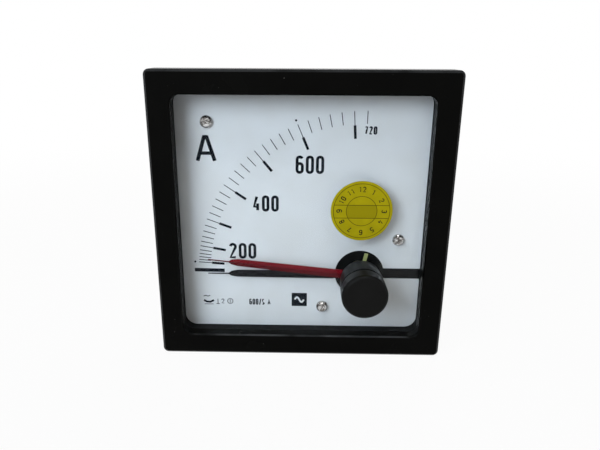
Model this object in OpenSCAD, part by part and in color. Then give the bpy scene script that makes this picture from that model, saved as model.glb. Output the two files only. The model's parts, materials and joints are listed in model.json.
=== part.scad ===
// Square panel meter: a maximum-demand ammeter with a bimetal movement.
//
// X is to the right and Z up, as seen from the front. The face looks along -Y, and Y = 0 is the
// rear of the front frame, where it meets the panel. Every piece is drawn in facing(): its x is
// X, its y is Z, and its z is the height above the panel, towards the viewer.

/* [Front frame] */
// Outside width and height of the front frame
frame_w = 96; // [90:1:120]
// Height of the front frame above the panel
frame_h = 8; // [7:0.5:12]
// Width of the frame's flat face, from its outer edge to the window
frame_face = 7.5; // [6:0.25:10]
// Radius of the frame's four outer corners
frame_corner_r = 1.8; // [1.2:0.1:4]
// Bevel round the frame's outer front edge
frame_bevel = 0.8; // [0.3:0.1:1.1]
// Radius of the window opening's corners
window_corner_r = 3; // [1:0.5:6]
// Bevel round the window opening's front edge
window_bevel = 0.4; // [0.1:0.1:0.8]
// How far the frame covers the panel beyond the case
frame_lap = 3; // [2:0.5:4]

/* [Window] */
// Thickness of the glass
glass_t = 1.6; // [1.2:0.1:2]
// Depth of the glass below the frame's front face
glass_recess = 3.9; // [3:0.1:4.5]
// How far the glass reaches beyond the window opening on each side
glass_lap = 3.5; // [2.5:0.1:3.8]
// Thickness of the gasket behind the glass
gasket_t = 0.8; // [0.4:0.1:1.2]
// Radius of the inspection sticker on the glass
sticker_r = 10.1; // [5:0.1:12]

/* [Case] */
// Depth of the case behind the panel
case_depth = 52; // [48:1:90]
// Wall thickness of the case
case_wall = 2.4; // [1.8:0.1:3.2]
// Radius of the case's outer corners
case_corner_r = 2.5; // [2:0.1:5]
// Width of the case's front rim, around the dial
case_rim = 3.6; // [3.2:0.1:5]
// Radius of the rim's inner corners, which the dial follows
dial_corner_r = 4.2; // [2:0.1:8]

/* [Dial] */
// Space between the glass and the dial
dial_gap = 3.5; // [3.4:0.1:8]
// Thickness of the dial plate
dial_t = 0.8; // [0.5:0.1:1.5]
// Radius of the hole in the dial around the pivot
dial_hole_r = 8.5; // [7.5:0.1:10]
// Width of the slot from the hole to the dial's right edge
dial_slot_w = 4.1; // [2.5:0.1:5]
// Thickness of the carrier plate behind the dial
carrier_t = 2.5; // [1.5:0.1:4]
// Distance from the dial's right edge to the pivot
pivot_inset_x = 20.95; // [20:0.05:24]
// Distance from the dial's bottom edge to the pivot
pivot_inset_z = 20.5; // [20:0.05:24]

/* [Scale] */
// Reading at full scale
scale_max = 720; // [200:20:1000]
// Lowest reading that has a mark
scale_min = 100; // [0:20:200]
// Step between two marks
scale_step = 20; // [10:10:50]
// Step between two heavy marks
major_step = 100; // [50:50:200]
// Angle of the zero mark above the resting pointer, in degrees
zero_angle = 0.7; // [0:0.1:2]
// Distance from the dial's left edge to the outer ends of the marks
scale_margin = 5.65; // [4:0.05:9]
// Length of a light mark
light_mark_len = 4.1; // [2:0.1:6]
// Width of a light mark
light_mark_w = 0.25; // [0.15:0.05:0.5]
// Length of the heavy part of a major mark
heavy_mark_len = 4.3; // [2:0.1:6]
// Width of the heavy part of a major mark
heavy_mark_w = 0.85; // [0.5:0.05:1.5]
// Thickness of the printed ink
ink_t = 0.05; // [0.03:0.01:0.1]

/* [Pointers] */
// Gap between the marks' outer ends and the pointer tips
pointer_gap = 3.3; // [1:0.1:8]
// Thickness of a pointer's sheet
blade_t = 0.25; // [0.2:0.05:0.4]
// Width of a pointer's lance near the hub
lance_root_w = 3; // [2:0.1:4]
// Width of a pointer's lance near the tip
lance_tip_w = 2.5; // [1.5:0.1:3.5]
// Width of the fine tip
needle_w = 0.4; // [0.3:0.05:0.8]
// Length of the fine tip
needle_len = 7.2; // [3:0.1:12]
// Rise of the fold along the middle of a pointer
fold_rise = 0.35; // [0.1:0.05:0.5]
// Angle at which the slave pointer was left standing, in degrees
slave_rest = 6.1; // [0:0.1:80]
// Angle at which the reset finger is parked, in degrees
finger_park = 102; // [100:1:120]

/* [Reset knob] */
// Radius of the knob's cap
cap_r = 7.45; // [7.4:0.05:10]
// Height of the cap
cap_h = 5.6; // [2:0.1:6]
// Radius of the knob's body at the glass
knob_foot_r = 6.9; // [6.2:0.1:7]
// Height of the knob above the glass, with its cap
knob_h = 14.9; // [12:0.1:22]
// Radius of the knob's spindle
knob_spindle_r = 1.5; // [1.4:0.05:1.6]

/* [Movement] */
// Radius of the two round frame plates
plate_r = 18; // [17.5:0.1:19]
// Thickness of the frame plates
plate_t = 1.5; // [1:0.1:2]
// Depth of the bay that holds the heated spiral
heated_bay = 10; // [9:0.5:11]
// Depth of the bay that holds the compensating spiral
cool_bay = 12; // [9:0.5:12]
// Radius of the movement's spindle
spindle_r = 0.8; // [0.6:0.05:0.9]
// Width of the heated spiral's strip
heated_strip_w = 6; // [4:0.5:7]
// Width of the compensating spiral's strip
cool_strip_w = 5; // [3:0.5:7]

/* [Terminals] */
// Distance between the two terminals
terminal_pitch = 28; // [22:1:32]
// Height of the terminals above the middle of the case
terminal_rise = 12; // [8:1:20]
// Radius of the terminal studs
stud_r = 2.5; // [2:0.1:3]
// Length of the studs outside the case
stud_out = 18; // [16:1:30]

/* [Mounting clamps] */
// Space left for the panel between the frame and the clamp screws
panel_space = 6; // [5:0.5:12]
// Radius of the clamp screws
clamp_screw_r = 2; // [1.5:0.1:2.5]
// Width of the clamp brackets
clamp_w = 10; // [8:0.5:14]

/* [Hidden] */
$fn = 64;

// Clearances
eps = 0.01;           // overshoot of a cut past the face that it leaves
fit = 0.15;           // between two moulded pieces
press = 0.02;         // between a pin and the hole that grips it
running = 0.05;       // between a turning pin and its bearing
air = 0.3;            // between two pieces that move past each other

// Front to back: heights above the panel
window_w = frame_w - 2 * frame_face;
glass_front = frame_h - glass_recess;
glass_back = glass_front - glass_t;
rim_front = glass_back - gasket_t;
dial_front = glass_back - dial_gap;
carrier_front = dial_front - dial_t;
carrier_back = carrier_front - carrier_t;

// Frame, glass and case
sticker_t = 0.12;
sticker_offset = [-0.75, 24.15]; // of the sticker's middle, from the pivot
notch_x = -3.1;
notch_w = 1.2;
notch_d = 0.35;
glass_w = window_w + 2 * glass_lap;
glass_corner_r = window_corner_r + 1;
case_w = frame_w - 2 * frame_lap;
rim_w = case_w - 2 * case_rim;
cavity_w = case_w - 2 * case_wall;
case_inside = case_wall - case_depth;
dial_w = rim_w - 2 * fit;
claw_x = case_w / 2 - 17;
claw_w = 10;
claw_t = 0.9;
claw_len = 9;
claw_hook = 0.6;

// The pivot: the common axis of the movement, the slave pointer and the knob
pivot_x = dial_w / 2 - pivot_inset_x;
pivot_z = pivot_inset_z - dial_w / 2;
scale_r = dial_w / 2 + pivot_x - scale_margin;
pointer_len = scale_r - pointer_gap;
// Calibration curve: degrees for each power of the share of full scale, from the first power up
scale_law = [28.5, -65.4, 473.1, -574.5, 228.7];

// Screws
post_r = 3.5;
post_x = cavity_w / 2 - 6.1;
carrier_screw_r = 1.25;
dial_screw_r = 1.25;
dial_screw_head_r = 2;
dial_screw_head_h = 1.4;
near_screw = 12.7;       // of two dial screws, from the pivot along X and Z
far_screw = [10.3, 9.8]; // of the third, from the dial's left and top edges
dial_screw_places = [
    [pivot_x + near_screw, pivot_z + near_screw],
    [pivot_x - near_screw, pivot_z - near_screw],
    [far_screw[0] - dial_w / 2, dial_w / 2 - far_screw[1]]
];

// Stack at the pivot, from the glass back to the dial
bush_flange_r = 4.2;
bush_flange_t = 0.4;
bush_r = 2.5;
finger_t = 0.35;
finger_front = glass_back - bush_flange_t - running;
finger_back = finger_front - finger_t;
finger_w = 1.2;
finger_len = dial_hole_r + 0.2;
brake_space = 0.35;
slave_base = finger_back - brake_space - 0.3;
clip_t = 0.25;
slave_stub_r = 0.8;
hub_ring_r = 5;
clip_front = slave_base - running;
pointer_base = dial_front + 0.85;
lug_angle = 60;       // of the slave pointer's lug, behind its blade

// Reset knob
nut_across = 8;
nut_t = 1.8;
washer_t = 0.4;
knob_foot = glass_front + air;
knob_top = glass_front + knob_h;
cap_foot = knob_top - cap_h;
cap_plug_r = 4;
cap_plug_h = 2;
knob_neck_r = cap_r - 0.1;
knob_groove = 0.8;
knob_edge = 1.2;
knob_wall = 0.7;
nut_room = washer_t + nut_t + 0.8;

// Movement
pillar_circle_r = plate_r - 2.2;
pillar_r = 2.2;
pillar_angles = [90, 210, 330];
pillar_screw_r = 1;
boss_len = 4.7;
front_plate_front = carrier_back - boss_len;
front_plate_back = front_plate_front - plate_t;
shield_front = front_plate_back - heated_bay;
shield_t = 0.5;
shield_back = shield_front - shield_t;
rear_plate_front = shield_back - cool_bay;
rear_plate_back = rear_plate_front - plate_t;
collet_r = 2.2;
strip_t = 0.6;
heated_turns = 4.25;
cool_turns = 5;
spiral_out_r = plate_r - 5;
heated_front = front_plate_back - 2;
cool_front = shield_back - 3;
bearing_r = 2.5;
bearing_len = 3.7;
spindle_end = rear_plate_back + 0.3;
cross_front = carrier_back - 1.2;

// Terminals and straps
strap_t = 0.8;
strap_w = 5;
strap_run = pivot_z + plate_r + 0.95; // of the right strap, over the plates' edge
strap_step = 2.9;                     // from the right strap's run to the left strap's
heated_slit = 0.6;
spiral_leg_w = (heated_strip_w - heated_slit) / 2;
spiral_clamp_r = 0.7;
spiral_clamp_heights = [
    heated_front - spiral_leg_w / 2,
    heated_front - heated_strip_w + spiral_leg_w / 2
];
block_t = 3.4;
block_h = 8;
block_x = pivot_x - spiral_out_r - strip_t / 2 - strap_t;
boss_h = 2;
wall_back = -case_depth - boss_h;
stud_head_t = 3.5;
terminal_nut_across = 8;
terminal_nut_t = 4;
terminal_nut_back = wall_back - 9;
stud_relief = 0.8;
clamp_washer_t = 0.75;

// Clamps
clamp_t = 1.6;
clamp_front = -18;
clamp_back = -44;
clamp_ear = 7.6;
clamp_screw_x = 4.4;   // from the case's side to the screw's axis
hook_t = 1.9;
hook_front = -31.5;
hook_len = 5.5;
aperture_front = -26;
clamp_head_r = 3.5;
clamp_head_h = 3;

// ---- Shared forms ----

// Turns a drawing in the plane of the dial so that its height points at the viewer
module facing() {
    rotate([90, 0, 0]) children();
}

// Moves the origin of a drawing in facing() to the pivot
module at_pivot() {
    translate([pivot_x, pivot_z, 0]) children();
}

// Lifts a drawing to a height above the panel
module at(height) {
    translate([0, 0, height]) children();
}

// Turns what points along x to a pointer angle: 0 is left, and it grows clockwise
module to_angle(angle) {
    rotate([0, 0, 180 - angle]) children();
}

module rounded_square(w, r) {
    square([w, w - 2 * r], center = true);
    square([w - 2 * r, w], center = true);
    for (sx = [-1, 1], sy = [-1, 1])
        translate([sx * (w / 2 - r), sy * (w / 2 - r)]) circle(r);
}

// A square plate with round corners whose outline grows by grow over its height
module flared_plate(w, r, h, grow) {
    s = w / 2 - r;
    for (sx = [-1, 1], sy = [-1, 1])
        translate([sx * s, sy * s, 0]) cylinder(h = h, r1 = r, r2 = r + grow);
    for (turn = [0, 90])
        rotate([0, 0, turn]) translate([-s, 0, 0]) rotate([90, 0, 90]) linear_extrude(2 * s)
            polygon([[-w / 2, 0], [w / 2, 0], [w / 2 + grow, h], [-w / 2 - grow, h]]);
}

module tube(h, r_out, r_in) {
    difference() {
        cylinder(h = h, r = r_out);
        translate([0, 0, -eps]) cylinder(h = h + 2 * eps, r = r_in);
    }
}

module hex(h, across) {
    cylinder(h = h, r = across / 2 / cos(30), $fn = 6);
}

module hex_nut(h, across, r_in) {
    difference() {
        hex(h, across);
        translate([0, 0, -eps]) cylinder(h = h + 2 * eps, r = r_in);
    }
}

// A slotted screw that points down from its head's underside at z = 0
module slotted_screw(r, len, head_r, head_h, slot_angle = 0) {
    crown = head_h * 0.45;
    difference() {
        union() {
            translate([0, 0, -len]) cylinder(h = len + eps, r = r);
            cylinder(h = head_h - crown, r = head_r);
            translate([0, 0, head_h - crown - eps])
                cylinder(h = crown + eps, r1 = head_r, r2 = head_r * 0.72);
        }
        rotate([0, 0, slot_angle]) translate([-head_r - 1, -head_r * 0.11, head_h * 0.5])
            cube([2 * head_r + 2, head_r * 0.22, head_h]);
    }
}

// A strip bent along a line of points, seen from its edge
module strip_profile(points, t) {
    for (i = [0 : len(points) - 2]) {
        a = points[i];
        b = points[i + 1];
        translate(a) rotate(atan2(b[1] - a[1], b[0] - a[0])) translate([0, -t / 2])
            square([norm(b - a), t]);
    }
    for (i = [1 : len(points) - 2])
        translate(points[i]) circle(t / 2, $fn = 16);
}

// ---- Front frame and window ----

module front_bezel() {
    color("#141412") facing() {
        difference() {
            union() {
                linear_extrude(frame_h - frame_bevel) rounded_square(frame_w, frame_corner_r);
                at(frame_h - frame_bevel)
                    flared_plate(frame_w, frame_corner_r, frame_bevel, -frame_bevel);
            }
            at(-1) linear_extrude(frame_h + 2) rounded_square(window_w, window_corner_r);
            at(frame_h - window_bevel)
                flared_plate(window_w, window_corner_r, window_bevel + eps, window_bevel);
            at(-1) linear_extrude(glass_front + 1) rounded_square(glass_w + 2 * fit, glass_corner_r + fit);
            // Drain notch in the lower wall of the opening
            translate([notch_x - notch_w / 2, -window_w / 2 - notch_d, glass_front - eps])
                cube([notch_w, notch_d + 1, frame_h - glass_front - window_bevel - 0.4]);
            at(-1) linear_extrude(rim_front + 1 + running)
                rounded_square(case_w + 2 * fit, case_corner_r + fit);
        }
        for (side = [-1, 1], x = [-claw_x, claw_x])
            translate([x, 0, 0]) scale([1, side, 1]) claw();
    }
}

// A snap claw on the upper side, from the frame's inside to a hook in the case's notch
module claw() {
    outer = case_w / 2 + fit;
    inner = outer - claw_t;
    translate([-claw_w / 2, 0, 0]) rotate([90, 0, 90]) linear_extrude(claw_w)
        polygon([
            [inner, rim_front + running + eps], [outer, rim_front + running + eps],
            [outer, -claw_len], [inner, -claw_len],
            [inner - claw_hook, -claw_len + 0.6], [inner - claw_hook, -claw_len + 1], [inner, -claw_len + 1]
        ]);
}

module window_glass() {
    color("#dfe8ee", 0.3) facing() difference() {
        at(glass_back) linear_extrude(glass_t) rounded_square(glass_w, glass_corner_r);
        at_pivot() at(glass_back - eps) cylinder(h = glass_t + 2 * eps, r = bush_r + fit);
    }
}

module window_gasket() {
    color("#101010") facing() at(rim_front) linear_extrude(gasket_t) difference() {
        rounded_square(glass_w, glass_corner_r);
        rounded_square(rim_w, dial_corner_r);
    }
}

module inspection_sticker() {
    color("#b9a91a") facing() at_pivot() translate([sticker_offset[0], sticker_offset[1], glass_front])
        cylinder(h = sticker_t, r = sticker_r);
}

// ---- Case ----

module case_body() {
    rear_bevel = 1.5;
    color("#1a1a19") facing() difference() {
        union() {
            case_shell(rear_bevel);
            for (x = [-terminal_pitch / 2, terminal_pitch / 2])
                translate([x, terminal_rise, wall_back]) cylinder(h = boss_h + case_wall, r = 7.5);
            terminal_barrier();
        }
        for (x = [-terminal_pitch / 2, terminal_pitch / 2])
            translate([x, terminal_rise, wall_back - 1]) cylinder(h = boss_h + case_wall + 2, r = stud_r + fit);
        for (side = [-1, 1], x = [-claw_x, claw_x])
            translate([x, 0, 0]) scale([1, side, 1]) claw_recess();
        for (side = [-1, 1])
            scale([side, 1, 1]) clamp_aperture();
    }
}

// The box with its front rim and the four corner posts that carry the dial carrier
module case_shell(rear_bevel) {
    difference() {
        union() {
            at(-case_depth)
                flared_plate(case_w - 2 * rear_bevel, case_corner_r - rear_bevel, rear_bevel, rear_bevel);
            at(rear_bevel - case_depth) linear_extrude(rim_front + case_depth - rear_bevel)
                rounded_square(case_w, case_corner_r);
        }
        at(carrier_back) linear_extrude(rim_front - carrier_back + 1) rounded_square(rim_w, dial_corner_r);
        at(case_inside) linear_extrude(carrier_back - case_inside + eps) rounded_square(cavity_w, 2);
    }
    for (sx = [-1, 1], sy = [-1, 1])
        scale([sx, sy, 1]) at(case_inside) corner_post(carrier_back - case_inside);
}

module corner_post(h) {
    web = 1.6;
    difference() {
        union() {
            translate([post_x, post_x, 0]) cylinder(h = h, r = post_r);
            translate([post_x, post_x - web / 2, 0]) cube([cavity_w / 2 - post_x + eps, web, h]);
            translate([post_x - web / 2, post_x, 0]) cube([web, cavity_w / 2 - post_x + eps, h]);
        }
        translate([post_x, post_x, h - 10]) cylinder(h = 11, r = carrier_screw_r);
    }
}

// A wall between the two terminals that keeps their cables apart
module terminal_barrier() {
    reach = 12;
    width = 2;
    height = 24;
    translate([-width / 2, terminal_rise - height / 2, -case_depth - reach])
        cube([width, height, reach + eps]);
}

module claw_recess() {
    gap = 0.2;
    floor_y = case_w / 2 + fit - claw_t - gap;
    translate([-claw_w / 2 - gap, floor_y, -claw_len - gap])
        cube([claw_w + 2 * gap, claw_t + 1, claw_len + gap + rim_front + 1]);
    translate([-claw_w / 2 - gap, floor_y - claw_hook, -claw_len - gap])
        cube([claw_w + 2 * gap, claw_t + 1, 1.4 + gap]);
}

module clamp_aperture() {
    gap = 0.2;
    back = hook_front - hook_t;
    translate([cavity_w / 2 - 1, -clamp_w / 2 + 1.3, back - gap])
        cube([case_wall + 2, clamp_w - 2.6, aperture_front - back + gap]);
}

// ---- Dial ----

module dial_carrier() {
    rib_w = 1.4;
    rib_h = 2;
    rib_step = 12;
    rib_len = dial_w - 2 * rib_step;
    color("#171717") facing() difference() {
        union() {
            at(carrier_back) linear_extrude(carrier_t) rounded_square(dial_w, dial_corner_r - fit);
            at_pivot() for (a = pillar_angles)
                rotate([0, 0, a]) translate([pillar_circle_r, 0, front_plate_front])
                    cylinder(h = boss_len + eps, r = pillar_r);
            for (p = dial_screw_places)
                translate([p[0], p[1], carrier_back - 3]) cylinder(h = 3 + eps, r = 2.6);
            // Stiffening ribs on the rear, clear of the posts and of the movement
            for (x = [-2 * rib_step, -rib_step])
                translate([x - rib_w / 2, rib_step - dial_w / 2, carrier_back - rib_h])
                    cube([rib_w, rib_len, rib_h + eps]);
            for (z = [rib_step, 2 * rib_step])
                translate([rib_step - dial_w / 2, z - rib_w / 2, carrier_back - rib_h])
                    cube([rib_len, rib_w, rib_h + eps]);
        }
        at_pivot() {
            at(carrier_back - eps) cylinder(h = carrier_t + 2 * eps, r = 4.5);
            for (a = pillar_angles)
                rotate([0, 0, a]) translate([pillar_circle_r, 0, front_plate_front - eps])
                    cylinder(h = boss_len + carrier_t - 0.8, r = pillar_screw_r + press);
        }
        for (p = dial_screw_places)
            translate([p[0], p[1], carrier_back - 3 - eps])
                cylinder(h = carrier_t + 3 + 2 * eps, r = dial_screw_r + press);
        for (sx = [-1, 1], sy = [-1, 1])
            translate([sx * post_x, sy * post_x, carrier_back - eps]) {
                cylinder(h = carrier_t + 2 * eps, r = carrier_screw_r + fit);
                translate([0, 0, carrier_t - 1.1]) cylinder(h = 1.2, r1 = 1.4, r2 = 2.6);
            }
    }
}

// Countersunk screws under the dial that hold the carrier to the case's posts
module carrier_screws() {
    head_h = 1;
    color("#9a9a98") facing() for (sx = [-1, 1], sy = [-1, 1])
        translate([sx * post_x, sy * post_x, carrier_front]) difference() {
            union() {
                translate([0, 0, -9]) cylinder(h = 9, r = carrier_screw_r - press);
                translate([0, 0, -head_h - 0.1]) cylinder(h = head_h, r1 = 1.3, r2 = 2.4);
            }
            translate([-3, -0.25, -0.6]) cube([6, 0.5, 1]);
        }
}

module dial_plate() {
    color("#f2f2ee") facing() at(dial_front - dial_t) linear_extrude(dial_t) difference() {
        rounded_square(dial_w, dial_corner_r - fit);
        translate([pivot_x, pivot_z]) {
            circle(dial_hole_r);
            translate([0, -dial_slot_w / 2]) square([dial_w, dial_slot_w]);
        }
        for (p = dial_screw_places)
            translate(p) circle(dial_screw_r + fit);
    }
}

// Angle of a reading: the movement's calibration curve, summed over its terms
function reading_angle(reading) =
    let (share = reading / scale_max)
    [for (i = [0 : len(scale_law) - 1]) scale_law[i] * pow(share, i + 1)] * [for (term = scale_law) 1];

// A flat mark along a radius of the scale
module mark(angle, r_in, r_out, w) {
    to_angle(angle) translate([r_in, -w / 2]) square([r_out - r_in, w]);
}

module scale_print() {
    heavy_start = scale_r - light_mark_len - 0.4;
    zero_out = scale_r + 1.6;
    zero_len = 10.5;
    zero_w = 1.3;
    dot_r = 0.35;
    color("#1c1f26") facing() at_pivot() at(dial_front) linear_extrude(ink_t) {
        for (reading = [scale_min : scale_step : scale_max]) {
            major = reading % major_step == 0;
            mark(reading_angle(reading), major ? heavy_start : scale_r - light_mark_len, scale_r, light_mark_w);
            if (major)
                mark(reading_angle(reading), heavy_start - heavy_mark_len, heavy_start, heavy_mark_w);
        }
        mark(zero_angle, zero_out - zero_len, zero_out, zero_w);
        for (reading = [100, 600])
            to_angle(reading_angle(reading)) translate([scale_r + 1.4, 0]) circle(dot_r, $fn = 24);
    }
}

module dial_screws() {
    slots = [28, 60, -25];
    color("#b8b6b0") facing() for (i = [0 : 2])
        translate([dial_screw_places[i][0], dial_screw_places[i][1], dial_front])
            slotted_screw(dial_screw_r, dial_t + carrier_t + 2, dial_screw_head_r, dial_screw_head_h, slots[i]);
}

// ---- Reset knob ----

// The knob's body, hollow over the nut: it widens and swells a little towards its cap
module knob_body() {
    swell = 0.12;
    neck_depth = 0.6;
    color("#161616") facing() at_pivot() difference() {
        rotate_extrude() polygon(concat(
            [[0, knob_foot], [knob_foot_r, knob_foot]],
            [for (i = [1 : 8])
                let (t = i / 8)
                [knob_foot_r + (knob_neck_r - knob_foot_r) * t + swell * 4 * t * (1 - t),
                 knob_foot + (cap_foot - knob_groove - knob_foot) * t]],
            [
                [knob_neck_r - neck_depth, cap_foot - knob_groove],
                [knob_neck_r - neck_depth, cap_foot], [0, cap_foot]
            ]
        ));
        at(knob_foot - eps) cylinder(h = nut_room + eps, r = knob_foot_r - knob_wall);
        at(knob_foot) cylinder(h = cap_foot - knob_foot + 1, r = knob_spindle_r + press);
        at(cap_foot - cap_plug_h) cylinder(h = cap_plug_h + 1, r = cap_plug_r + press);
    }
}

module knob_cap() {
    color("#0f0f0f") facing() at_pivot() rotate_extrude() polygon(concat(
        [
            [0, cap_foot - cap_plug_h + 0.1], [cap_plug_r, cap_foot - cap_plug_h + 0.1],
            [cap_plug_r, cap_foot], [cap_r - 0.2, cap_foot], [cap_r, cap_foot + 0.2]
        ],
        [for (a = [0 : 18 : 90])
            [cap_r - knob_edge * (1 - cos(a)), knob_top - knob_edge * (1 - sin(a))]],
        [[0, knob_top]]
    ));
}

// The knob's spindle: its rear end carries the reset finger and, on a thin stub, the slave pointer
module knob_spindle() {
    color("#b08d3f") facing() at_pivot() {
        at(finger_front) cylinder(h = cap_foot - cap_plug_h - finger_front, r = knob_spindle_r);
        at(finger_back) cylinder(h = finger_t + eps, r = knob_spindle_r - 0.3);
        at(clip_front - clip_t) cylinder(h = finger_back - clip_front + clip_t + eps, r = slave_stub_r);
    }
}

module knob_bush() {
    color("#b08d3f") facing() at_pivot() difference() {
        union() {
            at(glass_back - bush_flange_t) cylinder(h = bush_flange_t, r = bush_flange_r);
            at(glass_back - eps) cylinder(h = glass_t + washer_t + nut_t + 0.2, r = bush_r);
        }
        at(glass_back - 1) cylinder(h = glass_t + nut_t + 4, r = knob_spindle_r + running);
    }
}

module bush_washer() {
    color("#2a2a2a") facing() at_pivot() at(glass_front) tube(washer_t, bush_flange_r, bush_r + press);
}

module bush_nut() {
    color("#b08d3f") facing() at_pivot() at(glass_front + washer_t) hex_nut(nut_t, nut_across, bush_r + press);
}

module reset_finger() {
    hub_r = 2.6;
    groove = 0.1;
    color("#cfcfb0") facing() at_pivot() difference() {
        union() {
            at(finger_back) cylinder(h = finger_t, r = hub_r);
            to_angle(finger_park) translate([0, -finger_w / 2, finger_back])
                cube([finger_len, finger_w, finger_t]);
        }
        at(finger_back - eps) cylinder(h = finger_t + 2 * eps, r = knob_spindle_r - 0.3 + press);
        to_angle(finger_park) translate([hub_r, -0.15, finger_front - groove])
            cube([finger_len, 0.3, 1]);
    }
}

// ---- Pointers ----

// Outline of a pointer, from the hub to the fine tip
module lance_outline(start, len) {
    lance_end = len - needle_len;
    shoulder = 3;
    polygon([
        [start, -lance_root_w / 2],
        [lance_end - shoulder, -lance_tip_w / 2],
        [lance_end - shoulder * 0.3, -lance_tip_w * 0.34],
        [lance_end, -needle_w / 2],
        [len, -needle_w * 0.35],
        [len, needle_w * 0.35],
        [lance_end, needle_w / 2],
        [lance_end - shoulder * 0.3, lance_tip_w * 0.34],
        [lance_end - shoulder, lance_tip_w / 2],
        [start, lance_root_w / 2]
    ]);
}

// A folded sheet pointer along x: flat at its root and roof-shaped from there to the tip
module pointer_blade(start, len) {
    half = lance_root_w / 2 + 0.2;
    intersection() {
        linear_extrude(2) lance_outline(start, len);
        rotate([90, 0, 90]) linear_extrude(len + 1)
            polygon([
                [-half, 0], [0, fold_rise], [half, 0],
                [half, blade_t], [0, fold_rise + blade_t], [-half, blade_t]
            ]);
    }
}

module slave_pointer() {
    ring_t = 0.3;
    lug_r = 6.2;
    lug_w = 1.2;
    color("#a01c2c") facing() at_pivot() at(slave_base) {
        difference() {
            union() {
                cylinder(h = ring_t, r = hub_ring_r);
                to_angle(slave_rest) {
                    translate([0, -lance_root_w / 2, 0]) cube([9.5, lance_root_w, ring_t]);
                    pointer_blade(9, pointer_len);
                }
                to_angle(slave_rest - lug_angle) {
                    translate([0, -lug_w / 2, 0]) cube([lug_r + 1.4, lug_w, ring_t]);
                    translate([lug_r, -lug_w / 2, 0])
                        cube([1.4, lug_w, finger_front - slave_base]);
                }
            }
            translate([0, 0, -eps]) cylinder(h = 1, r = slave_stub_r + running);
        }
    }
}

// Cone washer between the reset finger and the slave pointer, which keeps the pointer where it stops
module slave_brake_spring() {
    t = 0.12;
    inner = slave_stub_r + 0.2;
    outer = 3.4;
    top = finger_back;
    foot = slave_base + 0.3 + running;
    color("#c8b070") facing() at_pivot() rotate_extrude() polygon([
        [inner, top - t], [inner + 0.6, top - t], [outer, foot], [outer, foot + t],
        [inner + 0.6, top], [inner, top]
    ]);
}

module slave_clip() {
    color("#8a8a88") facing() at_pivot() at(clip_front - clip_t) tube(clip_t, 1.6, slave_stub_r + press);
}

module indicating_pointer() {
    flat_t = 0.3;
    eye_r = 2.4;
    root_len = 9.5;
    overlap = 0.5;
    color("#23252c") facing() at_pivot() at(pointer_base) difference() {
        union() {
            cylinder(h = flat_t, r = eye_r);
            translate([-root_len, -lance_root_w * 0.45, 0]) cube([root_len, lance_root_w * 0.9, flat_t]);
            to_angle(0) pointer_blade(root_len - overlap, pointer_len);
        }
        translate([0, 0, -eps]) cylinder(h = 1, r = 1.2 + press);
    }
}

module pointer_hub() {
    color("#b08d3f") facing() at_pivot() difference() {
        union() {
            at(pointer_base - 2.4) cylinder(h = 2.4, r = 2.4);
            at(pointer_base - eps) cylinder(h = 0.3 + eps, r = 1.2);
        }
        at(pointer_base - 3) cylinder(h = 4, r = spindle_r + press);
    }
}

// ---- Movement ----

module movement_spindle() {
    color("#a8a8a6") facing() at_pivot()
        at(spindle_end) cylinder(h = pointer_base + 0.3 - spindle_end, r = spindle_r);
}

// Three arms on the spindle behind the carrier, two of them with a balance weight
module balance_cross() {
    arm_r = 0.5;
    arm_len = 11.5;
    hub_h = 1.6;
    color("#b08d3f") facing() at_pivot() at(cross_front - hub_h) difference() {
        union() {
            cylinder(h = hub_h, r = 2.2);
            for (a = [150, 210])
                to_angle(a) translate([0, 0, hub_h / 2]) rotate([0, 90, 0]) cylinder(h = arm_len, r = arm_r);
        }
        translate([0, 0, -eps]) cylinder(h = hub_h + 2 * eps, r = spindle_r + press);
    }
}

module balance_weights() {
    weight_r = 1.6;
    weight_t = 2;
    color("#b08d3f") facing() at_pivot() at(cross_front - 0.8) for (a = [150, 210])
        to_angle(a) translate([8.5, 0, 0]) rotate([0, 90, 0]) tube(weight_t, weight_r, 0.5 + press);
}

// A round frame plate with windows between its three pillars
module frame_plate(front, center_r) {
    color("#c9cbcc") facing() at_pivot() at(front - plate_t) linear_extrude(plate_t) difference() {
        circle(plate_r);
        circle(center_r);
        for (a = pillar_angles) {
            rotate(a) translate([pillar_circle_r, 0]) circle(pillar_screw_r + fit);
            if (front == rear_plate_front)
                rotate(a + 60) translate([10.5, 0]) circle(3.5);
        }
    }
}

module front_plate() {
    frame_plate(front_plate_front, 2 + press);
}

module rear_plate() {
    frame_plate(rear_plate_front, bearing_r + press);
}

module pillars(back, front) {
    color("#b08d3f") facing() at_pivot() for (a = pillar_angles)
        rotate([0, 0, a]) translate([pillar_circle_r, 0, back])
            tube(front - back, pillar_r, pillar_screw_r + fit);
}

module front_pillars() {
    pillars(shield_front, front_plate_back);
}

module rear_pillars() {
    pillars(rear_plate_front, shield_back);
}

// Long screws from the rear plate through the pillars into the carrier's bosses
module frame_screws() {
    grip = 3.6;
    color("#9a9a98") facing() at_pivot() for (a = pillar_angles)
        rotate([0, 0, a]) translate([pillar_circle_r, 0, rear_plate_back]) scale([1, 1, -1])
            slotted_screw(pillar_screw_r, front_plate_front - rear_plate_back + grip, 2, 1.2, a);
}

module heat_shield() {
    color("#d0d2d2") facing() at_pivot() at(shield_back) linear_extrude(shield_t) difference() {
        circle(plate_r - 0.5);
        circle(collet_r + 0.6);
        for (a = pillar_angles)
            rotate(a) translate([pillar_circle_r, 0]) circle(pillar_screw_r + fit);
    }
}

module front_bearing() {
    color("#a5793a") facing() at_pivot() difference() {
        union() {
            at(front_plate_back) cylinder(h = plate_t + eps, r = 2);
            at(front_plate_front) cylinder(h = 0.6, r = 3);
        }
        at(front_plate_back - 1) cylinder(h = plate_t + 3, r = spindle_r + running);
    }
}

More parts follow.
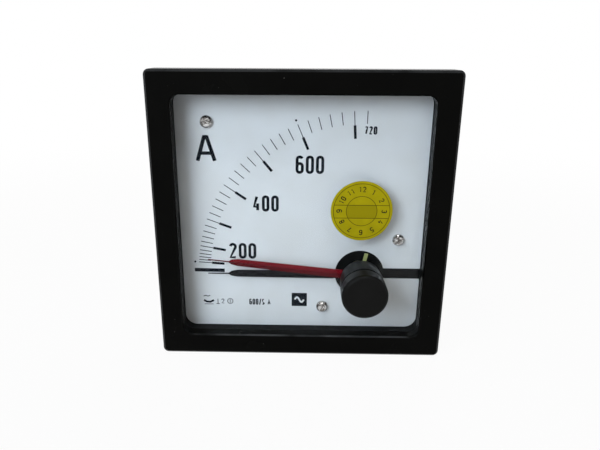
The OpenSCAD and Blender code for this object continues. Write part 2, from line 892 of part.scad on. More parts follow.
// Threaded rear bearing with a blind hole for the spindle's end and a screwdriver slot
module rear_bearing() {
    front = rear_plate_front + 0.2;
    color("#b08d3f") facing() at_pivot() difference() {
        at(front - bearing_len) cylinder(h = bearing_len, r = bearing_r);
        at(rear_plate_back + 0.1) cylinder(h = plate_t + 1, r = spindle_r + running);
        at(front - bearing_len - eps) translate([-bearing_r - 1, -0.35, 0]) cube([2 * bearing_r + 2, 0.7, 0.8]);
    }
}

module bearing_lock_nut() {
    t = 1.6;
    color("#b08d3f") facing() at_pivot() at(rear_plate_back - t) hex_nut(t, 7.5, bearing_r + press);
}

module collet(front, len) {
    color("#b08d3f") facing() at_pivot() at(front - len) tube(len, collet_r, spindle_r + press);
}

module heated_collet() {
    collet(heated_front + 0.5, heated_strip_w + 1);
}

module cool_collet() {
    collet(cool_front + 0.5, cool_strip_w + 1);
}

// One edge of an even spiral that ends at end_angle on the radius r_end
function spiral_edge(turns, r_start, r_end, end_angle, offset) = [
    for (i = [0 : ceil(turns * 24)])
        let (t = i / ceil(turns * 24), a = end_angle - 360 * turns * (1 - t))
        (r_start + (r_end - r_start) * t + offset) * [cos(a), sin(a)]
];

function reversed(points) = [for (i = [len(points) - 1 : -1 : 0]) points[i]];

module spiral_strip(turns, r_end, end_angle) {
    r_start = collet_r + strip_t / 2 + running;
    polygon(concat(
        spiral_edge(turns, r_start, r_end, end_angle, strip_t / 2),
        reversed(spiral_edge(turns, r_start, r_end, end_angle, -strip_t / 2))
    ));
}

// The heated strip is slit along its length, so that the current enters and leaves at its outer end
module heated_spiral() {
    root_r = collet_r + 1.6;
    color("#b87848") facing() at_pivot() {
        for (back = [heated_front - spiral_leg_w, heated_front - heated_strip_w])
            at(back) linear_extrude(spiral_leg_w) spiral_strip(heated_turns, spiral_out_r, 180);
        at(heated_front - heated_strip_w + spiral_leg_w) linear_extrude(heated_slit) intersection() {
            spiral_strip(heated_turns, spiral_out_r, 180);
            rotate(90) square(root_r);
        }
    }
}

module cool_spiral() {
    color("#c0a070") facing() at_pivot() at(cool_front - cool_strip_w)
        linear_extrude(cool_strip_w) spiral_strip(cool_turns, spiral_out_r, 0);
}

// Brass arm around the rear bearing that holds the compensating spiral's outer end
module regulator_arm() {
    arm_t = 1;
    arm_w = 3;
    post = 1.2;
    reach = spiral_out_r + strip_t / 2;
    color("#b08d3f") facing() at_pivot() difference() {
        union() {
            at(rear_plate_front) cylinder(h = arm_t, r = 4.6);
            at(rear_plate_front) translate([0, -arm_w / 2, 0]) cube([reach + post, arm_w, arm_t]);
            at(rear_plate_front) translate([reach, -arm_w / 2, 0])
                cube([post, arm_w, cool_front - rear_plate_front]);
        }
        at(rear_plate_front - eps) cylinder(h = arm_t + 1, r = bearing_r + running);
    }
}

// Insulating block under the front plate, where the heated spiral's two legs meet the straps
module spiral_block() {
    reach = 0.5;
    color("#5a3a22") facing() difference() {
        translate([block_x - block_t, pivot_z - block_h / 2, heated_front - heated_strip_w - reach])
            cube([block_t, block_h, front_plate_back - heated_front + heated_strip_w + reach]);
        for (z = spiral_clamp_heights)
            translate([block_x - block_t - 1, pivot_z, z]) rotate([0, 90, 0])
                cylinder(h = block_t + 2, r = spiral_clamp_r + press);
    }
}

module spiral_clamp_screws() {
    head_r = 1.25;
    head_h = 0.9;
    color("#9a9a98") facing() for (z = spiral_clamp_heights)
        translate([block_x - block_t, pivot_z, z]) rotate([0, -90, 0])
            slotted_screw(spiral_clamp_r, block_t - 0.1, head_r, head_h, 90);
}

// A copper strap from one leg of the heated spiral to its terminal: a narrow strip on edge beside
// the spiral, a bend to the side, and a wide run back to an eye on the case's rear wall
module strap(side, leg_back, run_z) {
    x0 = block_x + strap_t / 2;
    x1 = side * (terminal_pitch / 2 + strap_w / 2);
    eye_z = terminal_rise + strap_w / 2 + 1;
    color("#b4683c") facing() difference() {
        union() {
            at(leg_back) linear_extrude(spiral_leg_w)
                strip_profile([[x0, pivot_z - block_h / 2], [x0, run_z], [x1, run_z]], strap_t);
            translate([side * terminal_pitch / 2 - strap_w / 2, 0, 0]) rotate([90, 0, 90])
                linear_extrude(strap_w) strip_profile([
                    [run_z, leg_back + spiral_leg_w], [run_z, case_inside + strap_t / 2],
                    [eye_z, case_inside + strap_t / 2]
                ], strap_t);
            translate([side * terminal_pitch / 2, terminal_rise, case_inside]) cylinder(h = strap_t, r = 4.5);
        }
        translate([side * terminal_pitch / 2, terminal_rise, case_inside - 1])
            cylinder(h = strap_t + 2, r = stud_r + press);
    }
}

module left_strap() {
    strap(-1, heated_front - spiral_leg_w, strap_run + strap_step);
}

module right_strap() {
    strap(1, heated_front - heated_strip_w, strap_run);
}

// ---- Terminals ----

// A stud with its head inside the case and a thread relief behind its free end
module terminal_stud(side) {
    head_back = case_inside + strap_t;
    color("#c2a04c") facing() translate([side * terminal_pitch / 2, terminal_rise, 0]) {
        at(head_back) hex(stud_head_t, terminal_nut_across);
        at(terminal_nut_back) cylinder(h = head_back - terminal_nut_back + eps, r = stud_r);
        at(terminal_nut_back - stud_relief) cylinder(h = stud_relief + eps, r = stud_r - 0.3);
        at(-case_depth - stud_out)
            cylinder(h = case_depth + stud_out + terminal_nut_back - stud_relief, r = stud_r);
    }
}

module left_terminal_stud() {
    terminal_stud(-1);
}

module right_terminal_stud() {
    terminal_stud(1);
}

module at_terminals() {
    facing() for (side = [-1, 1])
        translate([side * terminal_pitch / 2, terminal_rise, wall_back]) children();
}

module terminal_lock_nuts() {
    color("#c2a04c") at_terminals() at(-3.4) {
        hex_nut(2.8, terminal_nut_across, stud_r + press);
        at(2.8) tube(0.6, terminal_nut_across / 2 + 0.6, stud_r + press);
    }
}

// The pair of washers on each stud that grips the cable's eye
module terminal_clamp_washers() {
    color("#c9b26a") at_terminals() for (i = [0, 1])
        at(terminal_nut_back - wall_back + terminal_nut_t + i * (clamp_washer_t + running))
            tube(clamp_washer_t, terminal_nut_across / 2 + 0.6, stud_r + press);
}

module terminal_nuts() {
    color("#c2a04c") at_terminals() at(terminal_nut_back - wall_back)
        hex_nut(terminal_nut_t, terminal_nut_across, stud_r + press);
}

// ---- Mounting clamps ----

// A bent sheet bracket beside the case: two ears that carry the screw, and a hook through the wall
module clamp_bracket(side) {
    x0 = case_w / 2;
    color("#8f9190") facing() scale([side, 1, 1]) difference() {
        union() {
            translate([0, clamp_w / 2, 0]) rotate([90, 0, 0]) linear_extrude(clamp_w) {
                translate([x0, clamp_back]) square([clamp_t, clamp_front - clamp_back]);
                for (z = [clamp_front - clamp_t, clamp_back])
                    translate([x0, z]) square([clamp_ear, clamp_t]);
            }
            translate([0, clamp_w / 2 - 1.5, 0]) rotate([90, 0, 0]) linear_extrude(clamp_w - 3) {
                translate([x0 - case_wall - 1.5, hook_front - hook_t]) square([case_wall + 2, hook_t]);
                translate([x0 - case_wall - 1.5, hook_front - hook_len]) square([1.1, hook_len]);
            }
        }
        translate([x0 + clamp_screw_x, 0, clamp_back - 1])
            cylinder(h = clamp_front - clamp_back + 2, r = clamp_screw_r + running);
    }
}

module left_clamp_bracket() {
    clamp_bracket(-1);
}

module right_clamp_bracket() {
    clamp_bracket(1);
}

module clamp_screw(side) {
    head_front = clamp_back - 8;
    color("#b0b2b0") facing() translate([side * (case_w / 2 + clamp_screw_x), 0, 0]) difference() {
        union() {
            at(head_front) cylinder(h = -panel_space - head_front, r = clamp_screw_r);
            at(head_front - clamp_head_h) cylinder(h = clamp_head_h + eps, r = clamp_head_r);
        }
        translate([-clamp_head_r - 1, -0.5, head_front - clamp_head_h - 1])
            cube([2 * clamp_head_r + 2, 1, 2.2]);
    }
}

module left_clamp_screw() {
    clamp_screw(-1);
}

module right_clamp_screw() {
    clamp_screw(1);
}

// ---- Nodes ----

front_bezel();
window_glass();
window_gasket();
case_body();
dial_carrier();
carrier_screws();
dial_plate();
scale_print();
dial_screws();
inspection_sticker();
knob_body();
knob_cap();
knob_spindle();
knob_bush();
bush_washer();
bush_nut();
reset_finger();
slave_pointer();
slave_brake_spring();
slave_clip();
indicating_pointer();
pointer_hub();
movement_spindle();
balance_cross();
balance_weights();
heated_collet();
cool_collet();
front_plate();
rear_plate();
front_pillars();
rear_pillars();
frame_screws();
heat_shield();
front_bearing();
rear_bearing();
bearing_lock_nut();
heated_spiral();
cool_spiral();
regulator_arm();
spiral_block();
spiral_clamp_screws();
left_strap();
right_strap();
left_terminal_stud();
right_terminal_stud();
terminal_lock_nuts();
terminal_clamp_washers();
terminal_nuts();
left_clamp_bracket();
right_clamp_bracket();
left_clamp_screw();
right_clamp_screw();
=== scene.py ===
"""Panel meter: finishes for every part, the dial's numbers and signs, the sticker's print and the studio."""

import json
import math

import bpy
from mathutils import Matrix, Vector


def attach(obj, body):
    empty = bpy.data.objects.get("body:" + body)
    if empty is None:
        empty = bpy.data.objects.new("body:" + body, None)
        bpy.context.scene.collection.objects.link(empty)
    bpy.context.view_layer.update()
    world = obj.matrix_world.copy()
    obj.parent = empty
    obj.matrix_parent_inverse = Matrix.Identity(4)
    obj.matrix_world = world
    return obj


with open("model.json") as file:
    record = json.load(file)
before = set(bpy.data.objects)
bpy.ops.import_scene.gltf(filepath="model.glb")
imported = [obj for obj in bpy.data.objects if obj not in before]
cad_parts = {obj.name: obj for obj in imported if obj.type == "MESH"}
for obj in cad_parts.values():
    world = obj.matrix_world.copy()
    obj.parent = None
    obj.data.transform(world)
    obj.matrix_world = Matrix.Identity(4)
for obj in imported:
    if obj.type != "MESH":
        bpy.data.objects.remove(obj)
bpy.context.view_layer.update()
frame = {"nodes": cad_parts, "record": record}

MM = 0.001
PIVOT = (20.30, -20.75)
DIAL_Y = 1.0
INK_T = 0.05
GLASS_Y = -4.1
STICKER_Y = GLASS_Y - 0.12
STICKER_AT = (19.55, 3.40)
STICKER_RINGS = (9.2, 5.0)
STICKER_RULES = (2.0, -2.4)
SLAVE_REST = 6.1
FRAME_HALF = 48
FRAME_FRONT_Y = -8
WINDOW_HALF = 40.5
PATCH_AT = (-0.5, -31.07)
PATCH_SIZE = (5.4, 5.1)
FLOOR_Z = -48.1


# ---------------------------------------------------------------- shader maths


class Field:
    """A number that varies over a surface, with arithmetic that adds its Math nodes."""

    def __init__(self, finish, socket):
        self.finish = finish
        self.socket = socket

    def maths(self, operation, *values):
        return self.finish.field("ShaderNodeMath", {"operation": operation}, dict(enumerate(values)), 0)

    def __add__(self, other):
        return self.maths("ADD", self, other)

    def __radd__(self, other):
        return self.maths("ADD", other, self)

    def __sub__(self, other):
        return self.maths("SUBTRACT", self, other)

    def __rsub__(self, other):
        return self.maths("SUBTRACT", other, self)

    def __mul__(self, other):
        return self.maths("MULTIPLY", self, other)

    def __rmul__(self, other):
        return self.maths("MULTIPLY", other, self)

    def __lt__(self, other):
        return self.maths("LESS_THAN", self, other)

    def __gt__(self, other):
        return self.maths("GREATER_THAN", self, other)

    def __abs__(self):
        return self.maths("ABSOLUTE", self)

    def __pow__(self, other):
        return self.maths("POWER", self, other)

    def most(self, other):
        return self.maths("MAXIMUM", self, other)

    def ramp(self, low, high):
        """0 below low, 1 above high, smooth between them."""
        settings = {"interpolation_type": "SMOOTHSTEP"}
        sockets = {"Value": self, "From Min": low, "From Max": high}
        return self.finish.field("ShaderNodeMapRange", settings, sockets, "Result")


class Finish:
    """One material: a Principled shader and the nodes behind it."""

    def __init__(self, name, colour, roughness, metallic=0.0, **constants):
        self.material = bpy.data.materials.new(name)
        self.material.use_nodes = True
        self.nodes = self.material.node_tree.nodes
        self.links = self.material.node_tree.links
        self.shader = self.nodes["Principled BSDF"]
        self.output = self.nodes["Material Output"]
        self.set(self.shader, {"Base Color": colour, "Roughness": roughness, "Metallic": metallic})
        self.set(self.shader, {key.replace("_", " "): value for key, value in constants.items()})
        self.place = self.node("ShaderNodeTexCoord").outputs["Object"]

    def set(self, node, sockets):
        for key, value in sockets.items():
            socket = node.inputs[key]
            value = getattr(value, "socket", value)
            if isinstance(value, bpy.types.NodeSocket):
                self.links.new(value, socket)
            elif isinstance(value, tuple) and len(value) == 3 and socket.type == "RGBA":
                socket.default_value = (*value, 1.0)
            else:
                socket.default_value = value

    def node(self, kind, settings=None, sockets=None):
        made = self.nodes.new(kind)
        for key, value in (settings or {}).items():
            setattr(made, key, value)
        self.set(made, sockets or {})
        return made

    def field(self, kind, settings, sockets, output):
        return Field(self, self.node(kind, settings, sockets).outputs[output])

    def mapped(self, centre=(0, 0, 0), turn=(0, 0, 0), stretch=(1, 1, 1)):
        """Object coordinates in millimetres about a centre, turned and stretched."""
        sockets = {0: self.place, 1: tuple(c * MM for c in centre)}
        moved = self.node("ShaderNodeVectorMath", {"operation": "SUBTRACT"}, sockets).outputs[0]
        sockets = {"Vector": moved, "Rotation": turn, "Scale": tuple(s / MM for s in stretch)}
        return self.node("ShaderNodeMapping", {}, sockets).outputs[0]

    def axes(self, vector):
        parts = self.node("ShaderNodeSeparateXYZ", {}, {0: vector}).outputs
        return [Field(self, part) for part in parts]

    def noise(self, size, detail=3.0, rough=0.55, stretch=(1, 1, 1)):
        """Noise about 0.5, whose features are about size millimetres."""
        place = self.mapped(stretch=stretch)
        sockets = {"Vector": place, "Scale": 1.0 / size, "Detail": detail, "Roughness": rough}
        return self.field("ShaderNodeTexNoise", {}, sockets, "Fac")

    def specks(self, size, share):
        """Small round spots, one in a cell of size millimetres, each share of it across."""
        sockets = {"Vector": self.mapped(), "Scale": 1.0 / size}
        cell = self.field("ShaderNodeTexVoronoi", {"feature": "F1"}, sockets, "Distance")
        return 1 - cell.ramp(share * 0.5, share)

    def blend(self, factor, one, two):
        mix = self.node("ShaderNodeMix", {"data_type": "RGBA"}, {"Factor": factor})
        self.set(mix, {6: one, 7: two})
        return mix.outputs[2]

    def bump(self, height, depth):
        """A relief of depth millimetres."""
        sockets = {"Height": height, "Distance": depth * MM, "Strength": 1.0}
        self.set(self.shader, {"Normal": self.node("ShaderNodeBump", {}, sockets).outputs[0]})

    def paint(self, **sockets):
        self.set(self.shader, {key.replace("_", " "): value for key, value in sockets.items()})
        return self


# ---------------------------------------------------------------- finishes


def moulded(name, colour, roughness, specular, grain=0.35, painted_highlight=None):
    """Moulded black plastic: a fine even grain, handling marks, a little dust, and a painted highlight
    blended paler along the edges it is given.
    """
    finish = Finish(name, colour, roughness, **{"Specular IOR Level": specular})
    handled = finish.noise(14, detail=4)
    fine = finish.noise(grain, detail=2)
    dust = finish.specks(2.6, 0.06) * finish.noise(9).ramp(0.5, 0.7)
    lighter = tuple(c * 1.6 for c in colour)
    body = finish.blend(handled.ramp(0.35, 0.75), colour, lighter)
    if painted_highlight:
        # Painted highlight: the chosen edges are blended towards a paler grey, in uneven stretches.
        body = finish.blend(painted_highlight(finish) * finish.noise(16).ramp(0.25, 0.6), body, (0.060, 0.062, 0.064))
    finish.paint(
        Base_Color=finish.blend(dust, body, (0.24, 0.23, 0.21)),
        Roughness=roughness + 0.16 * (handled - 0.5) + 0.25 * dust,
    )
    finish.bump(fine, 0.012)
    return finish


def frame_edges(finish):
    """How much painted highlight the bevels round the frame's outline and under its opening get."""
    x, y, z = finish.axes(finish.mapped())
    outline = abs(x).most(abs(z)).ramp(FRAME_HALF - 0.9, FRAME_HALF - 0.6) * (y < FRAME_FRONT_Y + 0.9)
    sill = (z < 0.1 - WINDOW_HALF) * (z > -0.45 - WINDOW_HALF) * (y < FRAME_FRONT_Y + 0.5)
    sill = sill * (1 - abs(x).ramp(36, 38))
    return (outline * 0.6).most(sill)


def metal(name, colour, dark, roughness, stretch, size=0.5, relief=0.004):
    """Worked metal: fine lines along one way and a slight tarnish."""
    finish = Finish(name, colour, roughness, 1.0)
    lines = finish.noise(size, detail=3, stretch=stretch)
    tarnish = finish.noise(5, detail=4).ramp(0.45, 0.8)
    finish.paint(
        Base_Color=finish.blend(tarnish, colour, dark),
        Roughness=roughness + 0.18 * (lines - 0.5) + 0.12 * tarnish,
    )
    finish.bump(lines, relief)
    return finish


def turned_metal(name, colour, dark, roughness):
    """Turned or rolled metal with rings too fine to follow one axis."""
    return metal(name, colour, dark, roughness, (1, 1, 1), size=0.7, relief=0.003)


def painted(name, colour, shade, roughness, relief=0.006, size=0.4, specular=0.5):
    """Sprayed paint: slight orange peel and soft unevenness."""
    finish = Finish(name, colour, roughness, **{"Specular IOR Level": specular})
    cloud = finish.noise(11, detail=3)
    finish.paint(
        Base_Color=finish.blend(cloud.ramp(0.35, 0.7), colour, shade),
        Roughness=roughness + 0.1 * (cloud - 0.5),
    )
    finish.bump(finish.noise(size, detail=2), relief)
    return finish


def clear_glass():
    """A clear pane that lets lamps through to the dial.

    Its index is lower than glass has, so that the pale surroundings do not veil the dial.
    """
    finish = Finish("clear_glass", (0.95, 0.97, 0.98), 0.0, **{"Transmission Weight": 1.0, "IOR": 1.16})
    path = finish.node("ShaderNodeLightPath").outputs
    open_way = finish.node("ShaderNodeBsdfTransparent", {}, {"Color": (0.94, 0.97, 0.98)})
    both = finish.node("ShaderNodeMixShader", {}, {0: path["Is Shadow Ray"]})
    finish.set(both, {1: finish.shader.outputs[0], 2: open_way.outputs[0]})
    finish.set(finish.output, {"Surface": both.outputs[0]})
    return finish


def yellow_film():
    """The label's yellow film, with its printed rings and rules."""
    yellow = (0.56, 0.47, 0.004)
    shade = (0.40, 0.334, 0.003)
    finish = Finish("yellow_film", yellow, 0.35, **{"Specular IOR Level": 0.08})
    across, _, up = finish.axes(finish.mapped(centre=(STICKER_AT[0], 0, STICKER_AT[1])))
    radius = (across * across + up * up) ** 0.5
    cloud = finish.noise(3.5, detail=4)
    outer_ring, inner_ring = STICKER_RINGS
    upper_rule, lower_rule = STICKER_RULES
    rings = (abs(radius - outer_ring) < 0.11).most(abs(radius - inner_ring) < 0.11)
    rules = (abs(up - upper_rule) < 0.12).most(abs(up - lower_rule) < 0.12) * (radius < outer_ring)
    field = (radius < inner_ring) * (up < upper_rule) * (up > lower_rule)
    ink = rings.most(rules)
    film = finish.blend((cloud.ramp(0.3, 0.65) * 0.35).most(field * 0.9), yellow, shade)
    finish.paint(Base_Color=finish.blend(ink * 0.8, film, (0.06, 0.045, 0.004)), Roughness=0.3 + 0.2 * cloud)
    finish.bump(cloud, 0.01)
    return finish


def folded_red():
    """Red paint over a folded blade: painted shade makes a dark line along the fold and a darker lower half.
    """
    red = (0.18, 0.004, 0.010)
    shaded_red = (0.055, 0.002, 0.004)
    finish = Finish("folded_red", red, 0.45, **{"Specular IOR Level": 0.06})
    place = finish.mapped(centre=(PIVOT[0], 0, PIVOT[1]), turn=(0, math.radians(-SLAVE_REST), 0))
    _, _, across = finish.axes(place)
    fold = 1 - abs(across + 0.1).ramp(0.08, 0.3)
    lower = 1 - across.ramp(-0.5, -0.3)
    cloud = finish.noise(5, detail=3)
    # Painted shade: the fold line and the lower half are blended towards a darker red.
    finish.paint(
        Base_Color=finish.blend(fold.most(lower * 0.6).most(cloud * 0.2), red, shaded_red),
        Roughness=0.38 + 0.12 * cloud,
    )
    finish.bump(across.ramp(-0.4, 0.0) - fold * 0.6 + 0.1 * cloud, 0.06)
    return finish


def pale_finger():
    """Pale yellow-green plastic, with painted shade: one side of its groove is a darker copy of the colour.
    """
    finish = Finish("pale_finger", (0.42, 0.44, 0.17), 0.5, **{"Specular IOR Level": 0.25})
    cloud = finish.noise(1.2, detail=3)
    across, _, _ = finish.axes(finish.mapped(centre=(PIVOT[0], 0, PIVOT[1]), turn=(0, math.radians(12), 0)))
    # Painted shade: the side beyond the groove takes the darker copy of the pale colour.
    finish.paint(
        Base_Color=finish.blend((across > 0) * 0.7 + 0.3 * cloud, (0.60, 0.62, 0.34), (0.36, 0.38, 0.13)),
        Roughness=0.45 + 0.15 * cloud,
    )
    return finish


def plated_screw():
    """Nickel plate with a painted reflection: dark patches in its colour stand in for mirrored dark
    surroundings, with fine turning lines.
    """
    finish = Finish("nickel_plate", (0.50, 0.48, 0.46), 0.22, 1.0)
    patch = finish.noise(1.3, detail=3, rough=0.6)
    lines = finish.noise(0.25, detail=3, stretch=(1, 1, 4))
    # Painted reflection: the bright nickel is blended towards near black in patches, for mirrored dark
    # surroundings.
    finish.paint(
        Base_Color=finish.blend(patch.ramp(0.42, 0.62), (0.58, 0.56, 0.54), (0.16, 0.14, 0.13)),
        Roughness=0.16 + 0.16 * patch,
    )
    finish.bump(patch + 0.3 * lines, 0.05)
    return finish


def bimetal_strip():
    """Rolled strip with straw and blue heat tints."""
    finish = Finish("bimetal_strip", (0.52, 0.4, 0.28), 0.32, 1.0)
    tint = finish.noise(4, detail=3)
    finish.paint(
        Base_Color=finish.blend(tint.ramp(0.35, 0.7), (0.55, 0.42, 0.27), (0.34, 0.3, 0.36)),
        Roughness=0.26 + 0.2 * tint,
    )
    finish.bump(finish.noise(0.4, detail=2, stretch=(1, 6, 1)), 0.003)
    return finish


def laminate():
    """Brown paper laminate with fine layers along its edge."""
    brown = (0.16, 0.075, 0.035)
    pale_brown = (0.24, 0.13, 0.06)
    finish = Finish("laminate", brown, 0.5)
    _, layer, _ = finish.axes(finish.mapped())
    lines = finish.field("ShaderNodeMath", {"operation": "SINE"}, {0: layer * 18}, 0)
    cloud = finish.noise(2.5)
    finish.paint(
        Base_Color=finish.blend(lines.ramp(-0.2, 1.0) * cloud, brown, pale_brown),
        Roughness=0.42 + 0.2 * cloud,
    )
    finish.bump(lines, 0.006)
    return finish


FINISHES = {
    # The frame's bevels carry a painted highlight.
    "frame_black": moulded("frame_black", (0.0018, 0.0018, 0.0015), 0.25, 0.034, painted_highlight=frame_edges),
    "case_black": moulded("case_black", (0.0065, 0.0065, 0.0062), 0.5, 0.06, grain=0.5),
    "knob_black": moulded("knob_black", (0.0045, 0.0045, 0.0042), 0.34, 0.085, grain=0.2),
    "glass": clear_glass(),
    "rubber_black": moulded("rubber_black", (0.008, 0.008, 0.008), 0.7, 0.15, grain=0.25),
    "dial_white": painted(
        "dial_white", (0.80, 0.80, 0.79), (0.77, 0.765, 0.745), 0.6, relief=0.004, specular=0.2
    ),
    "ink": painted("ink", (0.004, 0.006, 0.010), (0.007, 0.009, 0.014), 0.6, relief=0.002, specular=0.03),
    "nickel": plated_screw(),
    "steel": turned_metal("steel", (0.52, 0.52, 0.51), (0.34, 0.33, 0.31), 0.32),
    "sticker_yellow": yellow_film(),
    "brass": turned_metal("brass", (0.68, 0.50, 0.21), (0.42, 0.29, 0.12), 0.28),
    "terminal_brass": turned_metal("terminal_brass", (0.72, 0.56, 0.27), (0.46, 0.33, 0.15), 0.24),
    "finger_pale": pale_finger(),
    "pointer_red": folded_red(),
    "pointer_black": painted(
        "pointer_black", (0.005, 0.005, 0.006), (0.008, 0.008, 0.009), 0.5, specular=0.05
    ),
    "plate_aluminium": metal("plate_aluminium", (0.74, 0.75, 0.76), (0.58, 0.58, 0.58), 0.34, (1, 1, 9)),
    "bimetal": bimetal_strip(),
    "block_brown": laminate(),
    "copper": metal("copper", (0.70, 0.36, 0.22), (0.42, 0.20, 0.12), 0.3, (6, 1, 1)),
    "zinc": metal("zinc", (0.50, 0.52, 0.50), (0.36, 0.37, 0.34), 0.36, (1, 5, 1), size=0.8),
}

record = frame["record"]
SLOT_OF = {part["node"]: part["material_slot"] for part in record["subparts"]}


def dress(piece, slot):
    piece.data.materials.clear()
    piece.data.materials.append(FINISHES[slot].material)


for node, piece in frame["nodes"].items():
    dress(piece, SLOT_OF[node])


# ---------------------------------------------------------------- modelling


def deselect():
    if bpy.context.object and bpy.context.object.mode != "OBJECT":
        bpy.ops.object.mode_set(mode="OBJECT")
    bpy.ops.object.select_all(action="DESELECT")


def join(pieces, name):
    """One object from several, at the origin, with its own mesh."""
    deselect()
    for piece in pieces:
        piece.select_set(True)
    bpy.context.view_layer.objects.active = pieces[0]
    if len(pieces) > 1:
        bpy.ops.object.join()
    bpy.ops.object.transform_apply(location=True, rotation=True, scale=True)
    joined = bpy.context.object
    joined.name = name
    joined.data.name = name
    return joined


def arc(centre, radius, start, end, steps=10):
    """Points on an arc; angles in degrees from +X, counter-clockwise."""
    turn = [math.radians(start + (end - start) * i / steps) for i in range(steps + 1)]
    return [(centre[0] + radius * math.cos(a), centre[1] + radius * math.sin(a)) for a in turn]


def stroke(points, width, front, thickness=INK_T, closed=False):
    """A printed line of one width along points (x, z), its back on the plane y = front + thickness."""
    line = bpy.data.curves.new("stroke", "CURVE")
    line.dimensions = "3D"
    line.bevel_depth = width / 2 * MM
    line.bevel_resolution = 0
    line.use_fill_caps = not closed
    path = line.splines.new("POLY")
    path.points.add(len(points) - 1)
    for point, (x, z) in zip(path.points, points):
        point.co = (x * MM, 0, z * MM, 1)
    path.use_cyclic_u = closed
    piece = bpy.data.objects.new("stroke", line)
    bpy.context.scene.collection.objects.link(piece)
    deselect()
    piece.select_set(True)
    bpy.context.view_layer.objects.active = piece
    bpy.ops.object.convert(target="MESH")
    piece = bpy.context.object
    bpy.ops.object.shade_flat()
    bpy.ops.object.mode_set(mode="EDIT")
    bpy.ops.mesh.select_all(action="SELECT")
    bpy.ops.transform.resize(value=(1, thickness / width, 1), center_override=(0, 0, 0))
    bpy.ops.transform.translate(value=(0, (front + thickness / 2) * MM, 0))
    bpy.ops.object.mode_set(mode="OBJECT")
    return piece


def digit_lines(sign, height, half):
    """The centre lines of a sign, height tall and two halves wide, about x = 0, each with closed or not."""
    r = half
    top, bottom = height - r, r
    low = 0.27 * height
    loop = 0.29 * height
    if sign == "0":
        return [(arc((0, top), r, 0, 180) + arc((0, bottom), r, 180, 360), True)]
    if sign == "1":
        return [([(-0.6 * r, 0.78 * height), (0.15 * r, height), (0.15 * r, 0)], False)]
    if sign == "2":
        return [(arc((0, top), r, 170, -28) + [(-r, 0), (r, 0)], False)]
    if sign == "3":
        return [
            (arc((0, top), r, 150, -80), False),
            (arc((0, bottom + 0.05 * height), r, 80, -150), False),
        ]
    if sign == "4":
        return [
            ([(0.25 * r, height), (-r, low), (1.15 * r, low)], False),
            ([(0.55 * r, 0.5 * height), (0.55 * r, 0)], False),
        ]
    if sign == "5":
        bowl = arc((-0.06 * r, bottom + 0.16 * r), 1.08 * r, 125, -150, 16)
        return [([(0.85 * r, height), (-0.8 * r, height), (-0.88 * r, 0.52 * height)], False), (bowl, False)]
    if sign in "69":
        ring = arc((0, 2 * loop - r), r, 0, 180) + arc((0, r), r, 180, 360)
        stem = arc((0, top), r, 25, 180) + [(-r, r)]
        if sign == "9":
            ring, stem = [[(-x, height - z) for x, z in line] for line in (ring, stem)]
        return [(ring, True), (stem, False)]
    if sign == "7":
        return [([(-r, height), (r, height), (0.25 * r, 0.5 * height), (-0.25 * r, 0)], False)]
    if sign == "8":
        small = 0.92 * r
        waist = 0.53 * height
        upper = arc((0, height - small), small, 0, 180) + arc((0, waist + small), small, 180, 360)
        lower = arc((0, waist - r), r, 0, 180) + arc((0, r), r, 180, 360)
        return [(upper, True), (lower, True)]
    if sign == "/":
        return [([(-0.7 * r, -0.1 * height), (0.7 * r, 1.1 * height)], False)]
    if sign == "A":
        return [
            ([(-1.25 * r, 0), (0, height), (1.25 * r, 0)], False),
            ([(-0.85 * r, 0.3 * height), (0.85 * r, 0.3 * height)], False),
        ]
    return []


def turned(point, turn, about):
    """A point turned about another, in radians counter-clockwise."""
    x, z = point[0] - about[0], point[1] - about[1]
    c, s = math.cos(turn), math.sin(turn)
    return about[0] + c * x - s * z, about[1] + s * x + c * z


def lettering(text, left, right, bottom, top, width, gap, front=DIAL_Y - INK_T, turn=0.0, about=(0, 0)):
    """Printed signs side by side, from left to right and bottom to top, outside their strokes."""
    wide = {"A": 1.35, "/": 0.9, " ": 0.55}
    total = sum(wide.get(sign, 1.0) for sign in text)
    cell = (right - left - gap * (len(text) - 1)) / total
    x = left
    strokes = []
    for sign in text:
        w = cell * wide.get(sign, 1.0)
        r = (cell - width) / 2
        for points, closed in digit_lines(sign, top - bottom - width, r):
            moved = [(x + w / 2 + px, bottom + width / 2 + pz) for px, pz in points]
            if turn:
                moved = [turned(point, turn, about) for point in moved]
            strokes.append(stroke(moved, width, front, closed=closed))
        x += w + gap
    return strokes


def printed(strokes, name, slot="ink"):
    piece = join(strokes, name)
    dress(piece, slot)
    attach(piece, "housing")
    return piece


# ---------------------------------------------------------------- the dial's print

PRINT_Y = DIAL_Y - INK_T
# Each number's left, right, bottom and top
SCALE_NUMBERS = {
    "200": (-24.95, -15.52, -15.71, -9.91),
    "400": (-16.52, -7.72, 1.43, 7.12),
    "600": (-2.18, 7.20, 14.55, 20.67),
}
numbers = []
for text, (left, right, bottom, top) in SCALE_NUMBERS.items():
    numbers += lettering(text, left, right, bottom, top, 0.96, 0.62)
numbers += lettering("720", 19.85, 23.95, 27.63, 30.30, 0.55, 0.26)
printed(numbers, "scale_numbers")

unit = [
    stroke([(-34.35, 18.65), (-31.83, 26.9)], 1.25, PRINT_Y),
    stroke([(-31.19, 26.9), (-28.67, 18.65)], 1.25, PRINT_Y),
    stroke([(-32.2, 26.7), (-30.82, 26.7)], 0.8, PRINT_Y),
    stroke([(-33.45, 21.2), (-29.6, 21.2)], 1.15, PRINT_Y),
]
printed(unit, "unit_letter")
printed(lettering("600/5 A", -18.31, -10.62, -33.30, -30.98, 0.42, 0.20), "ratio_print")

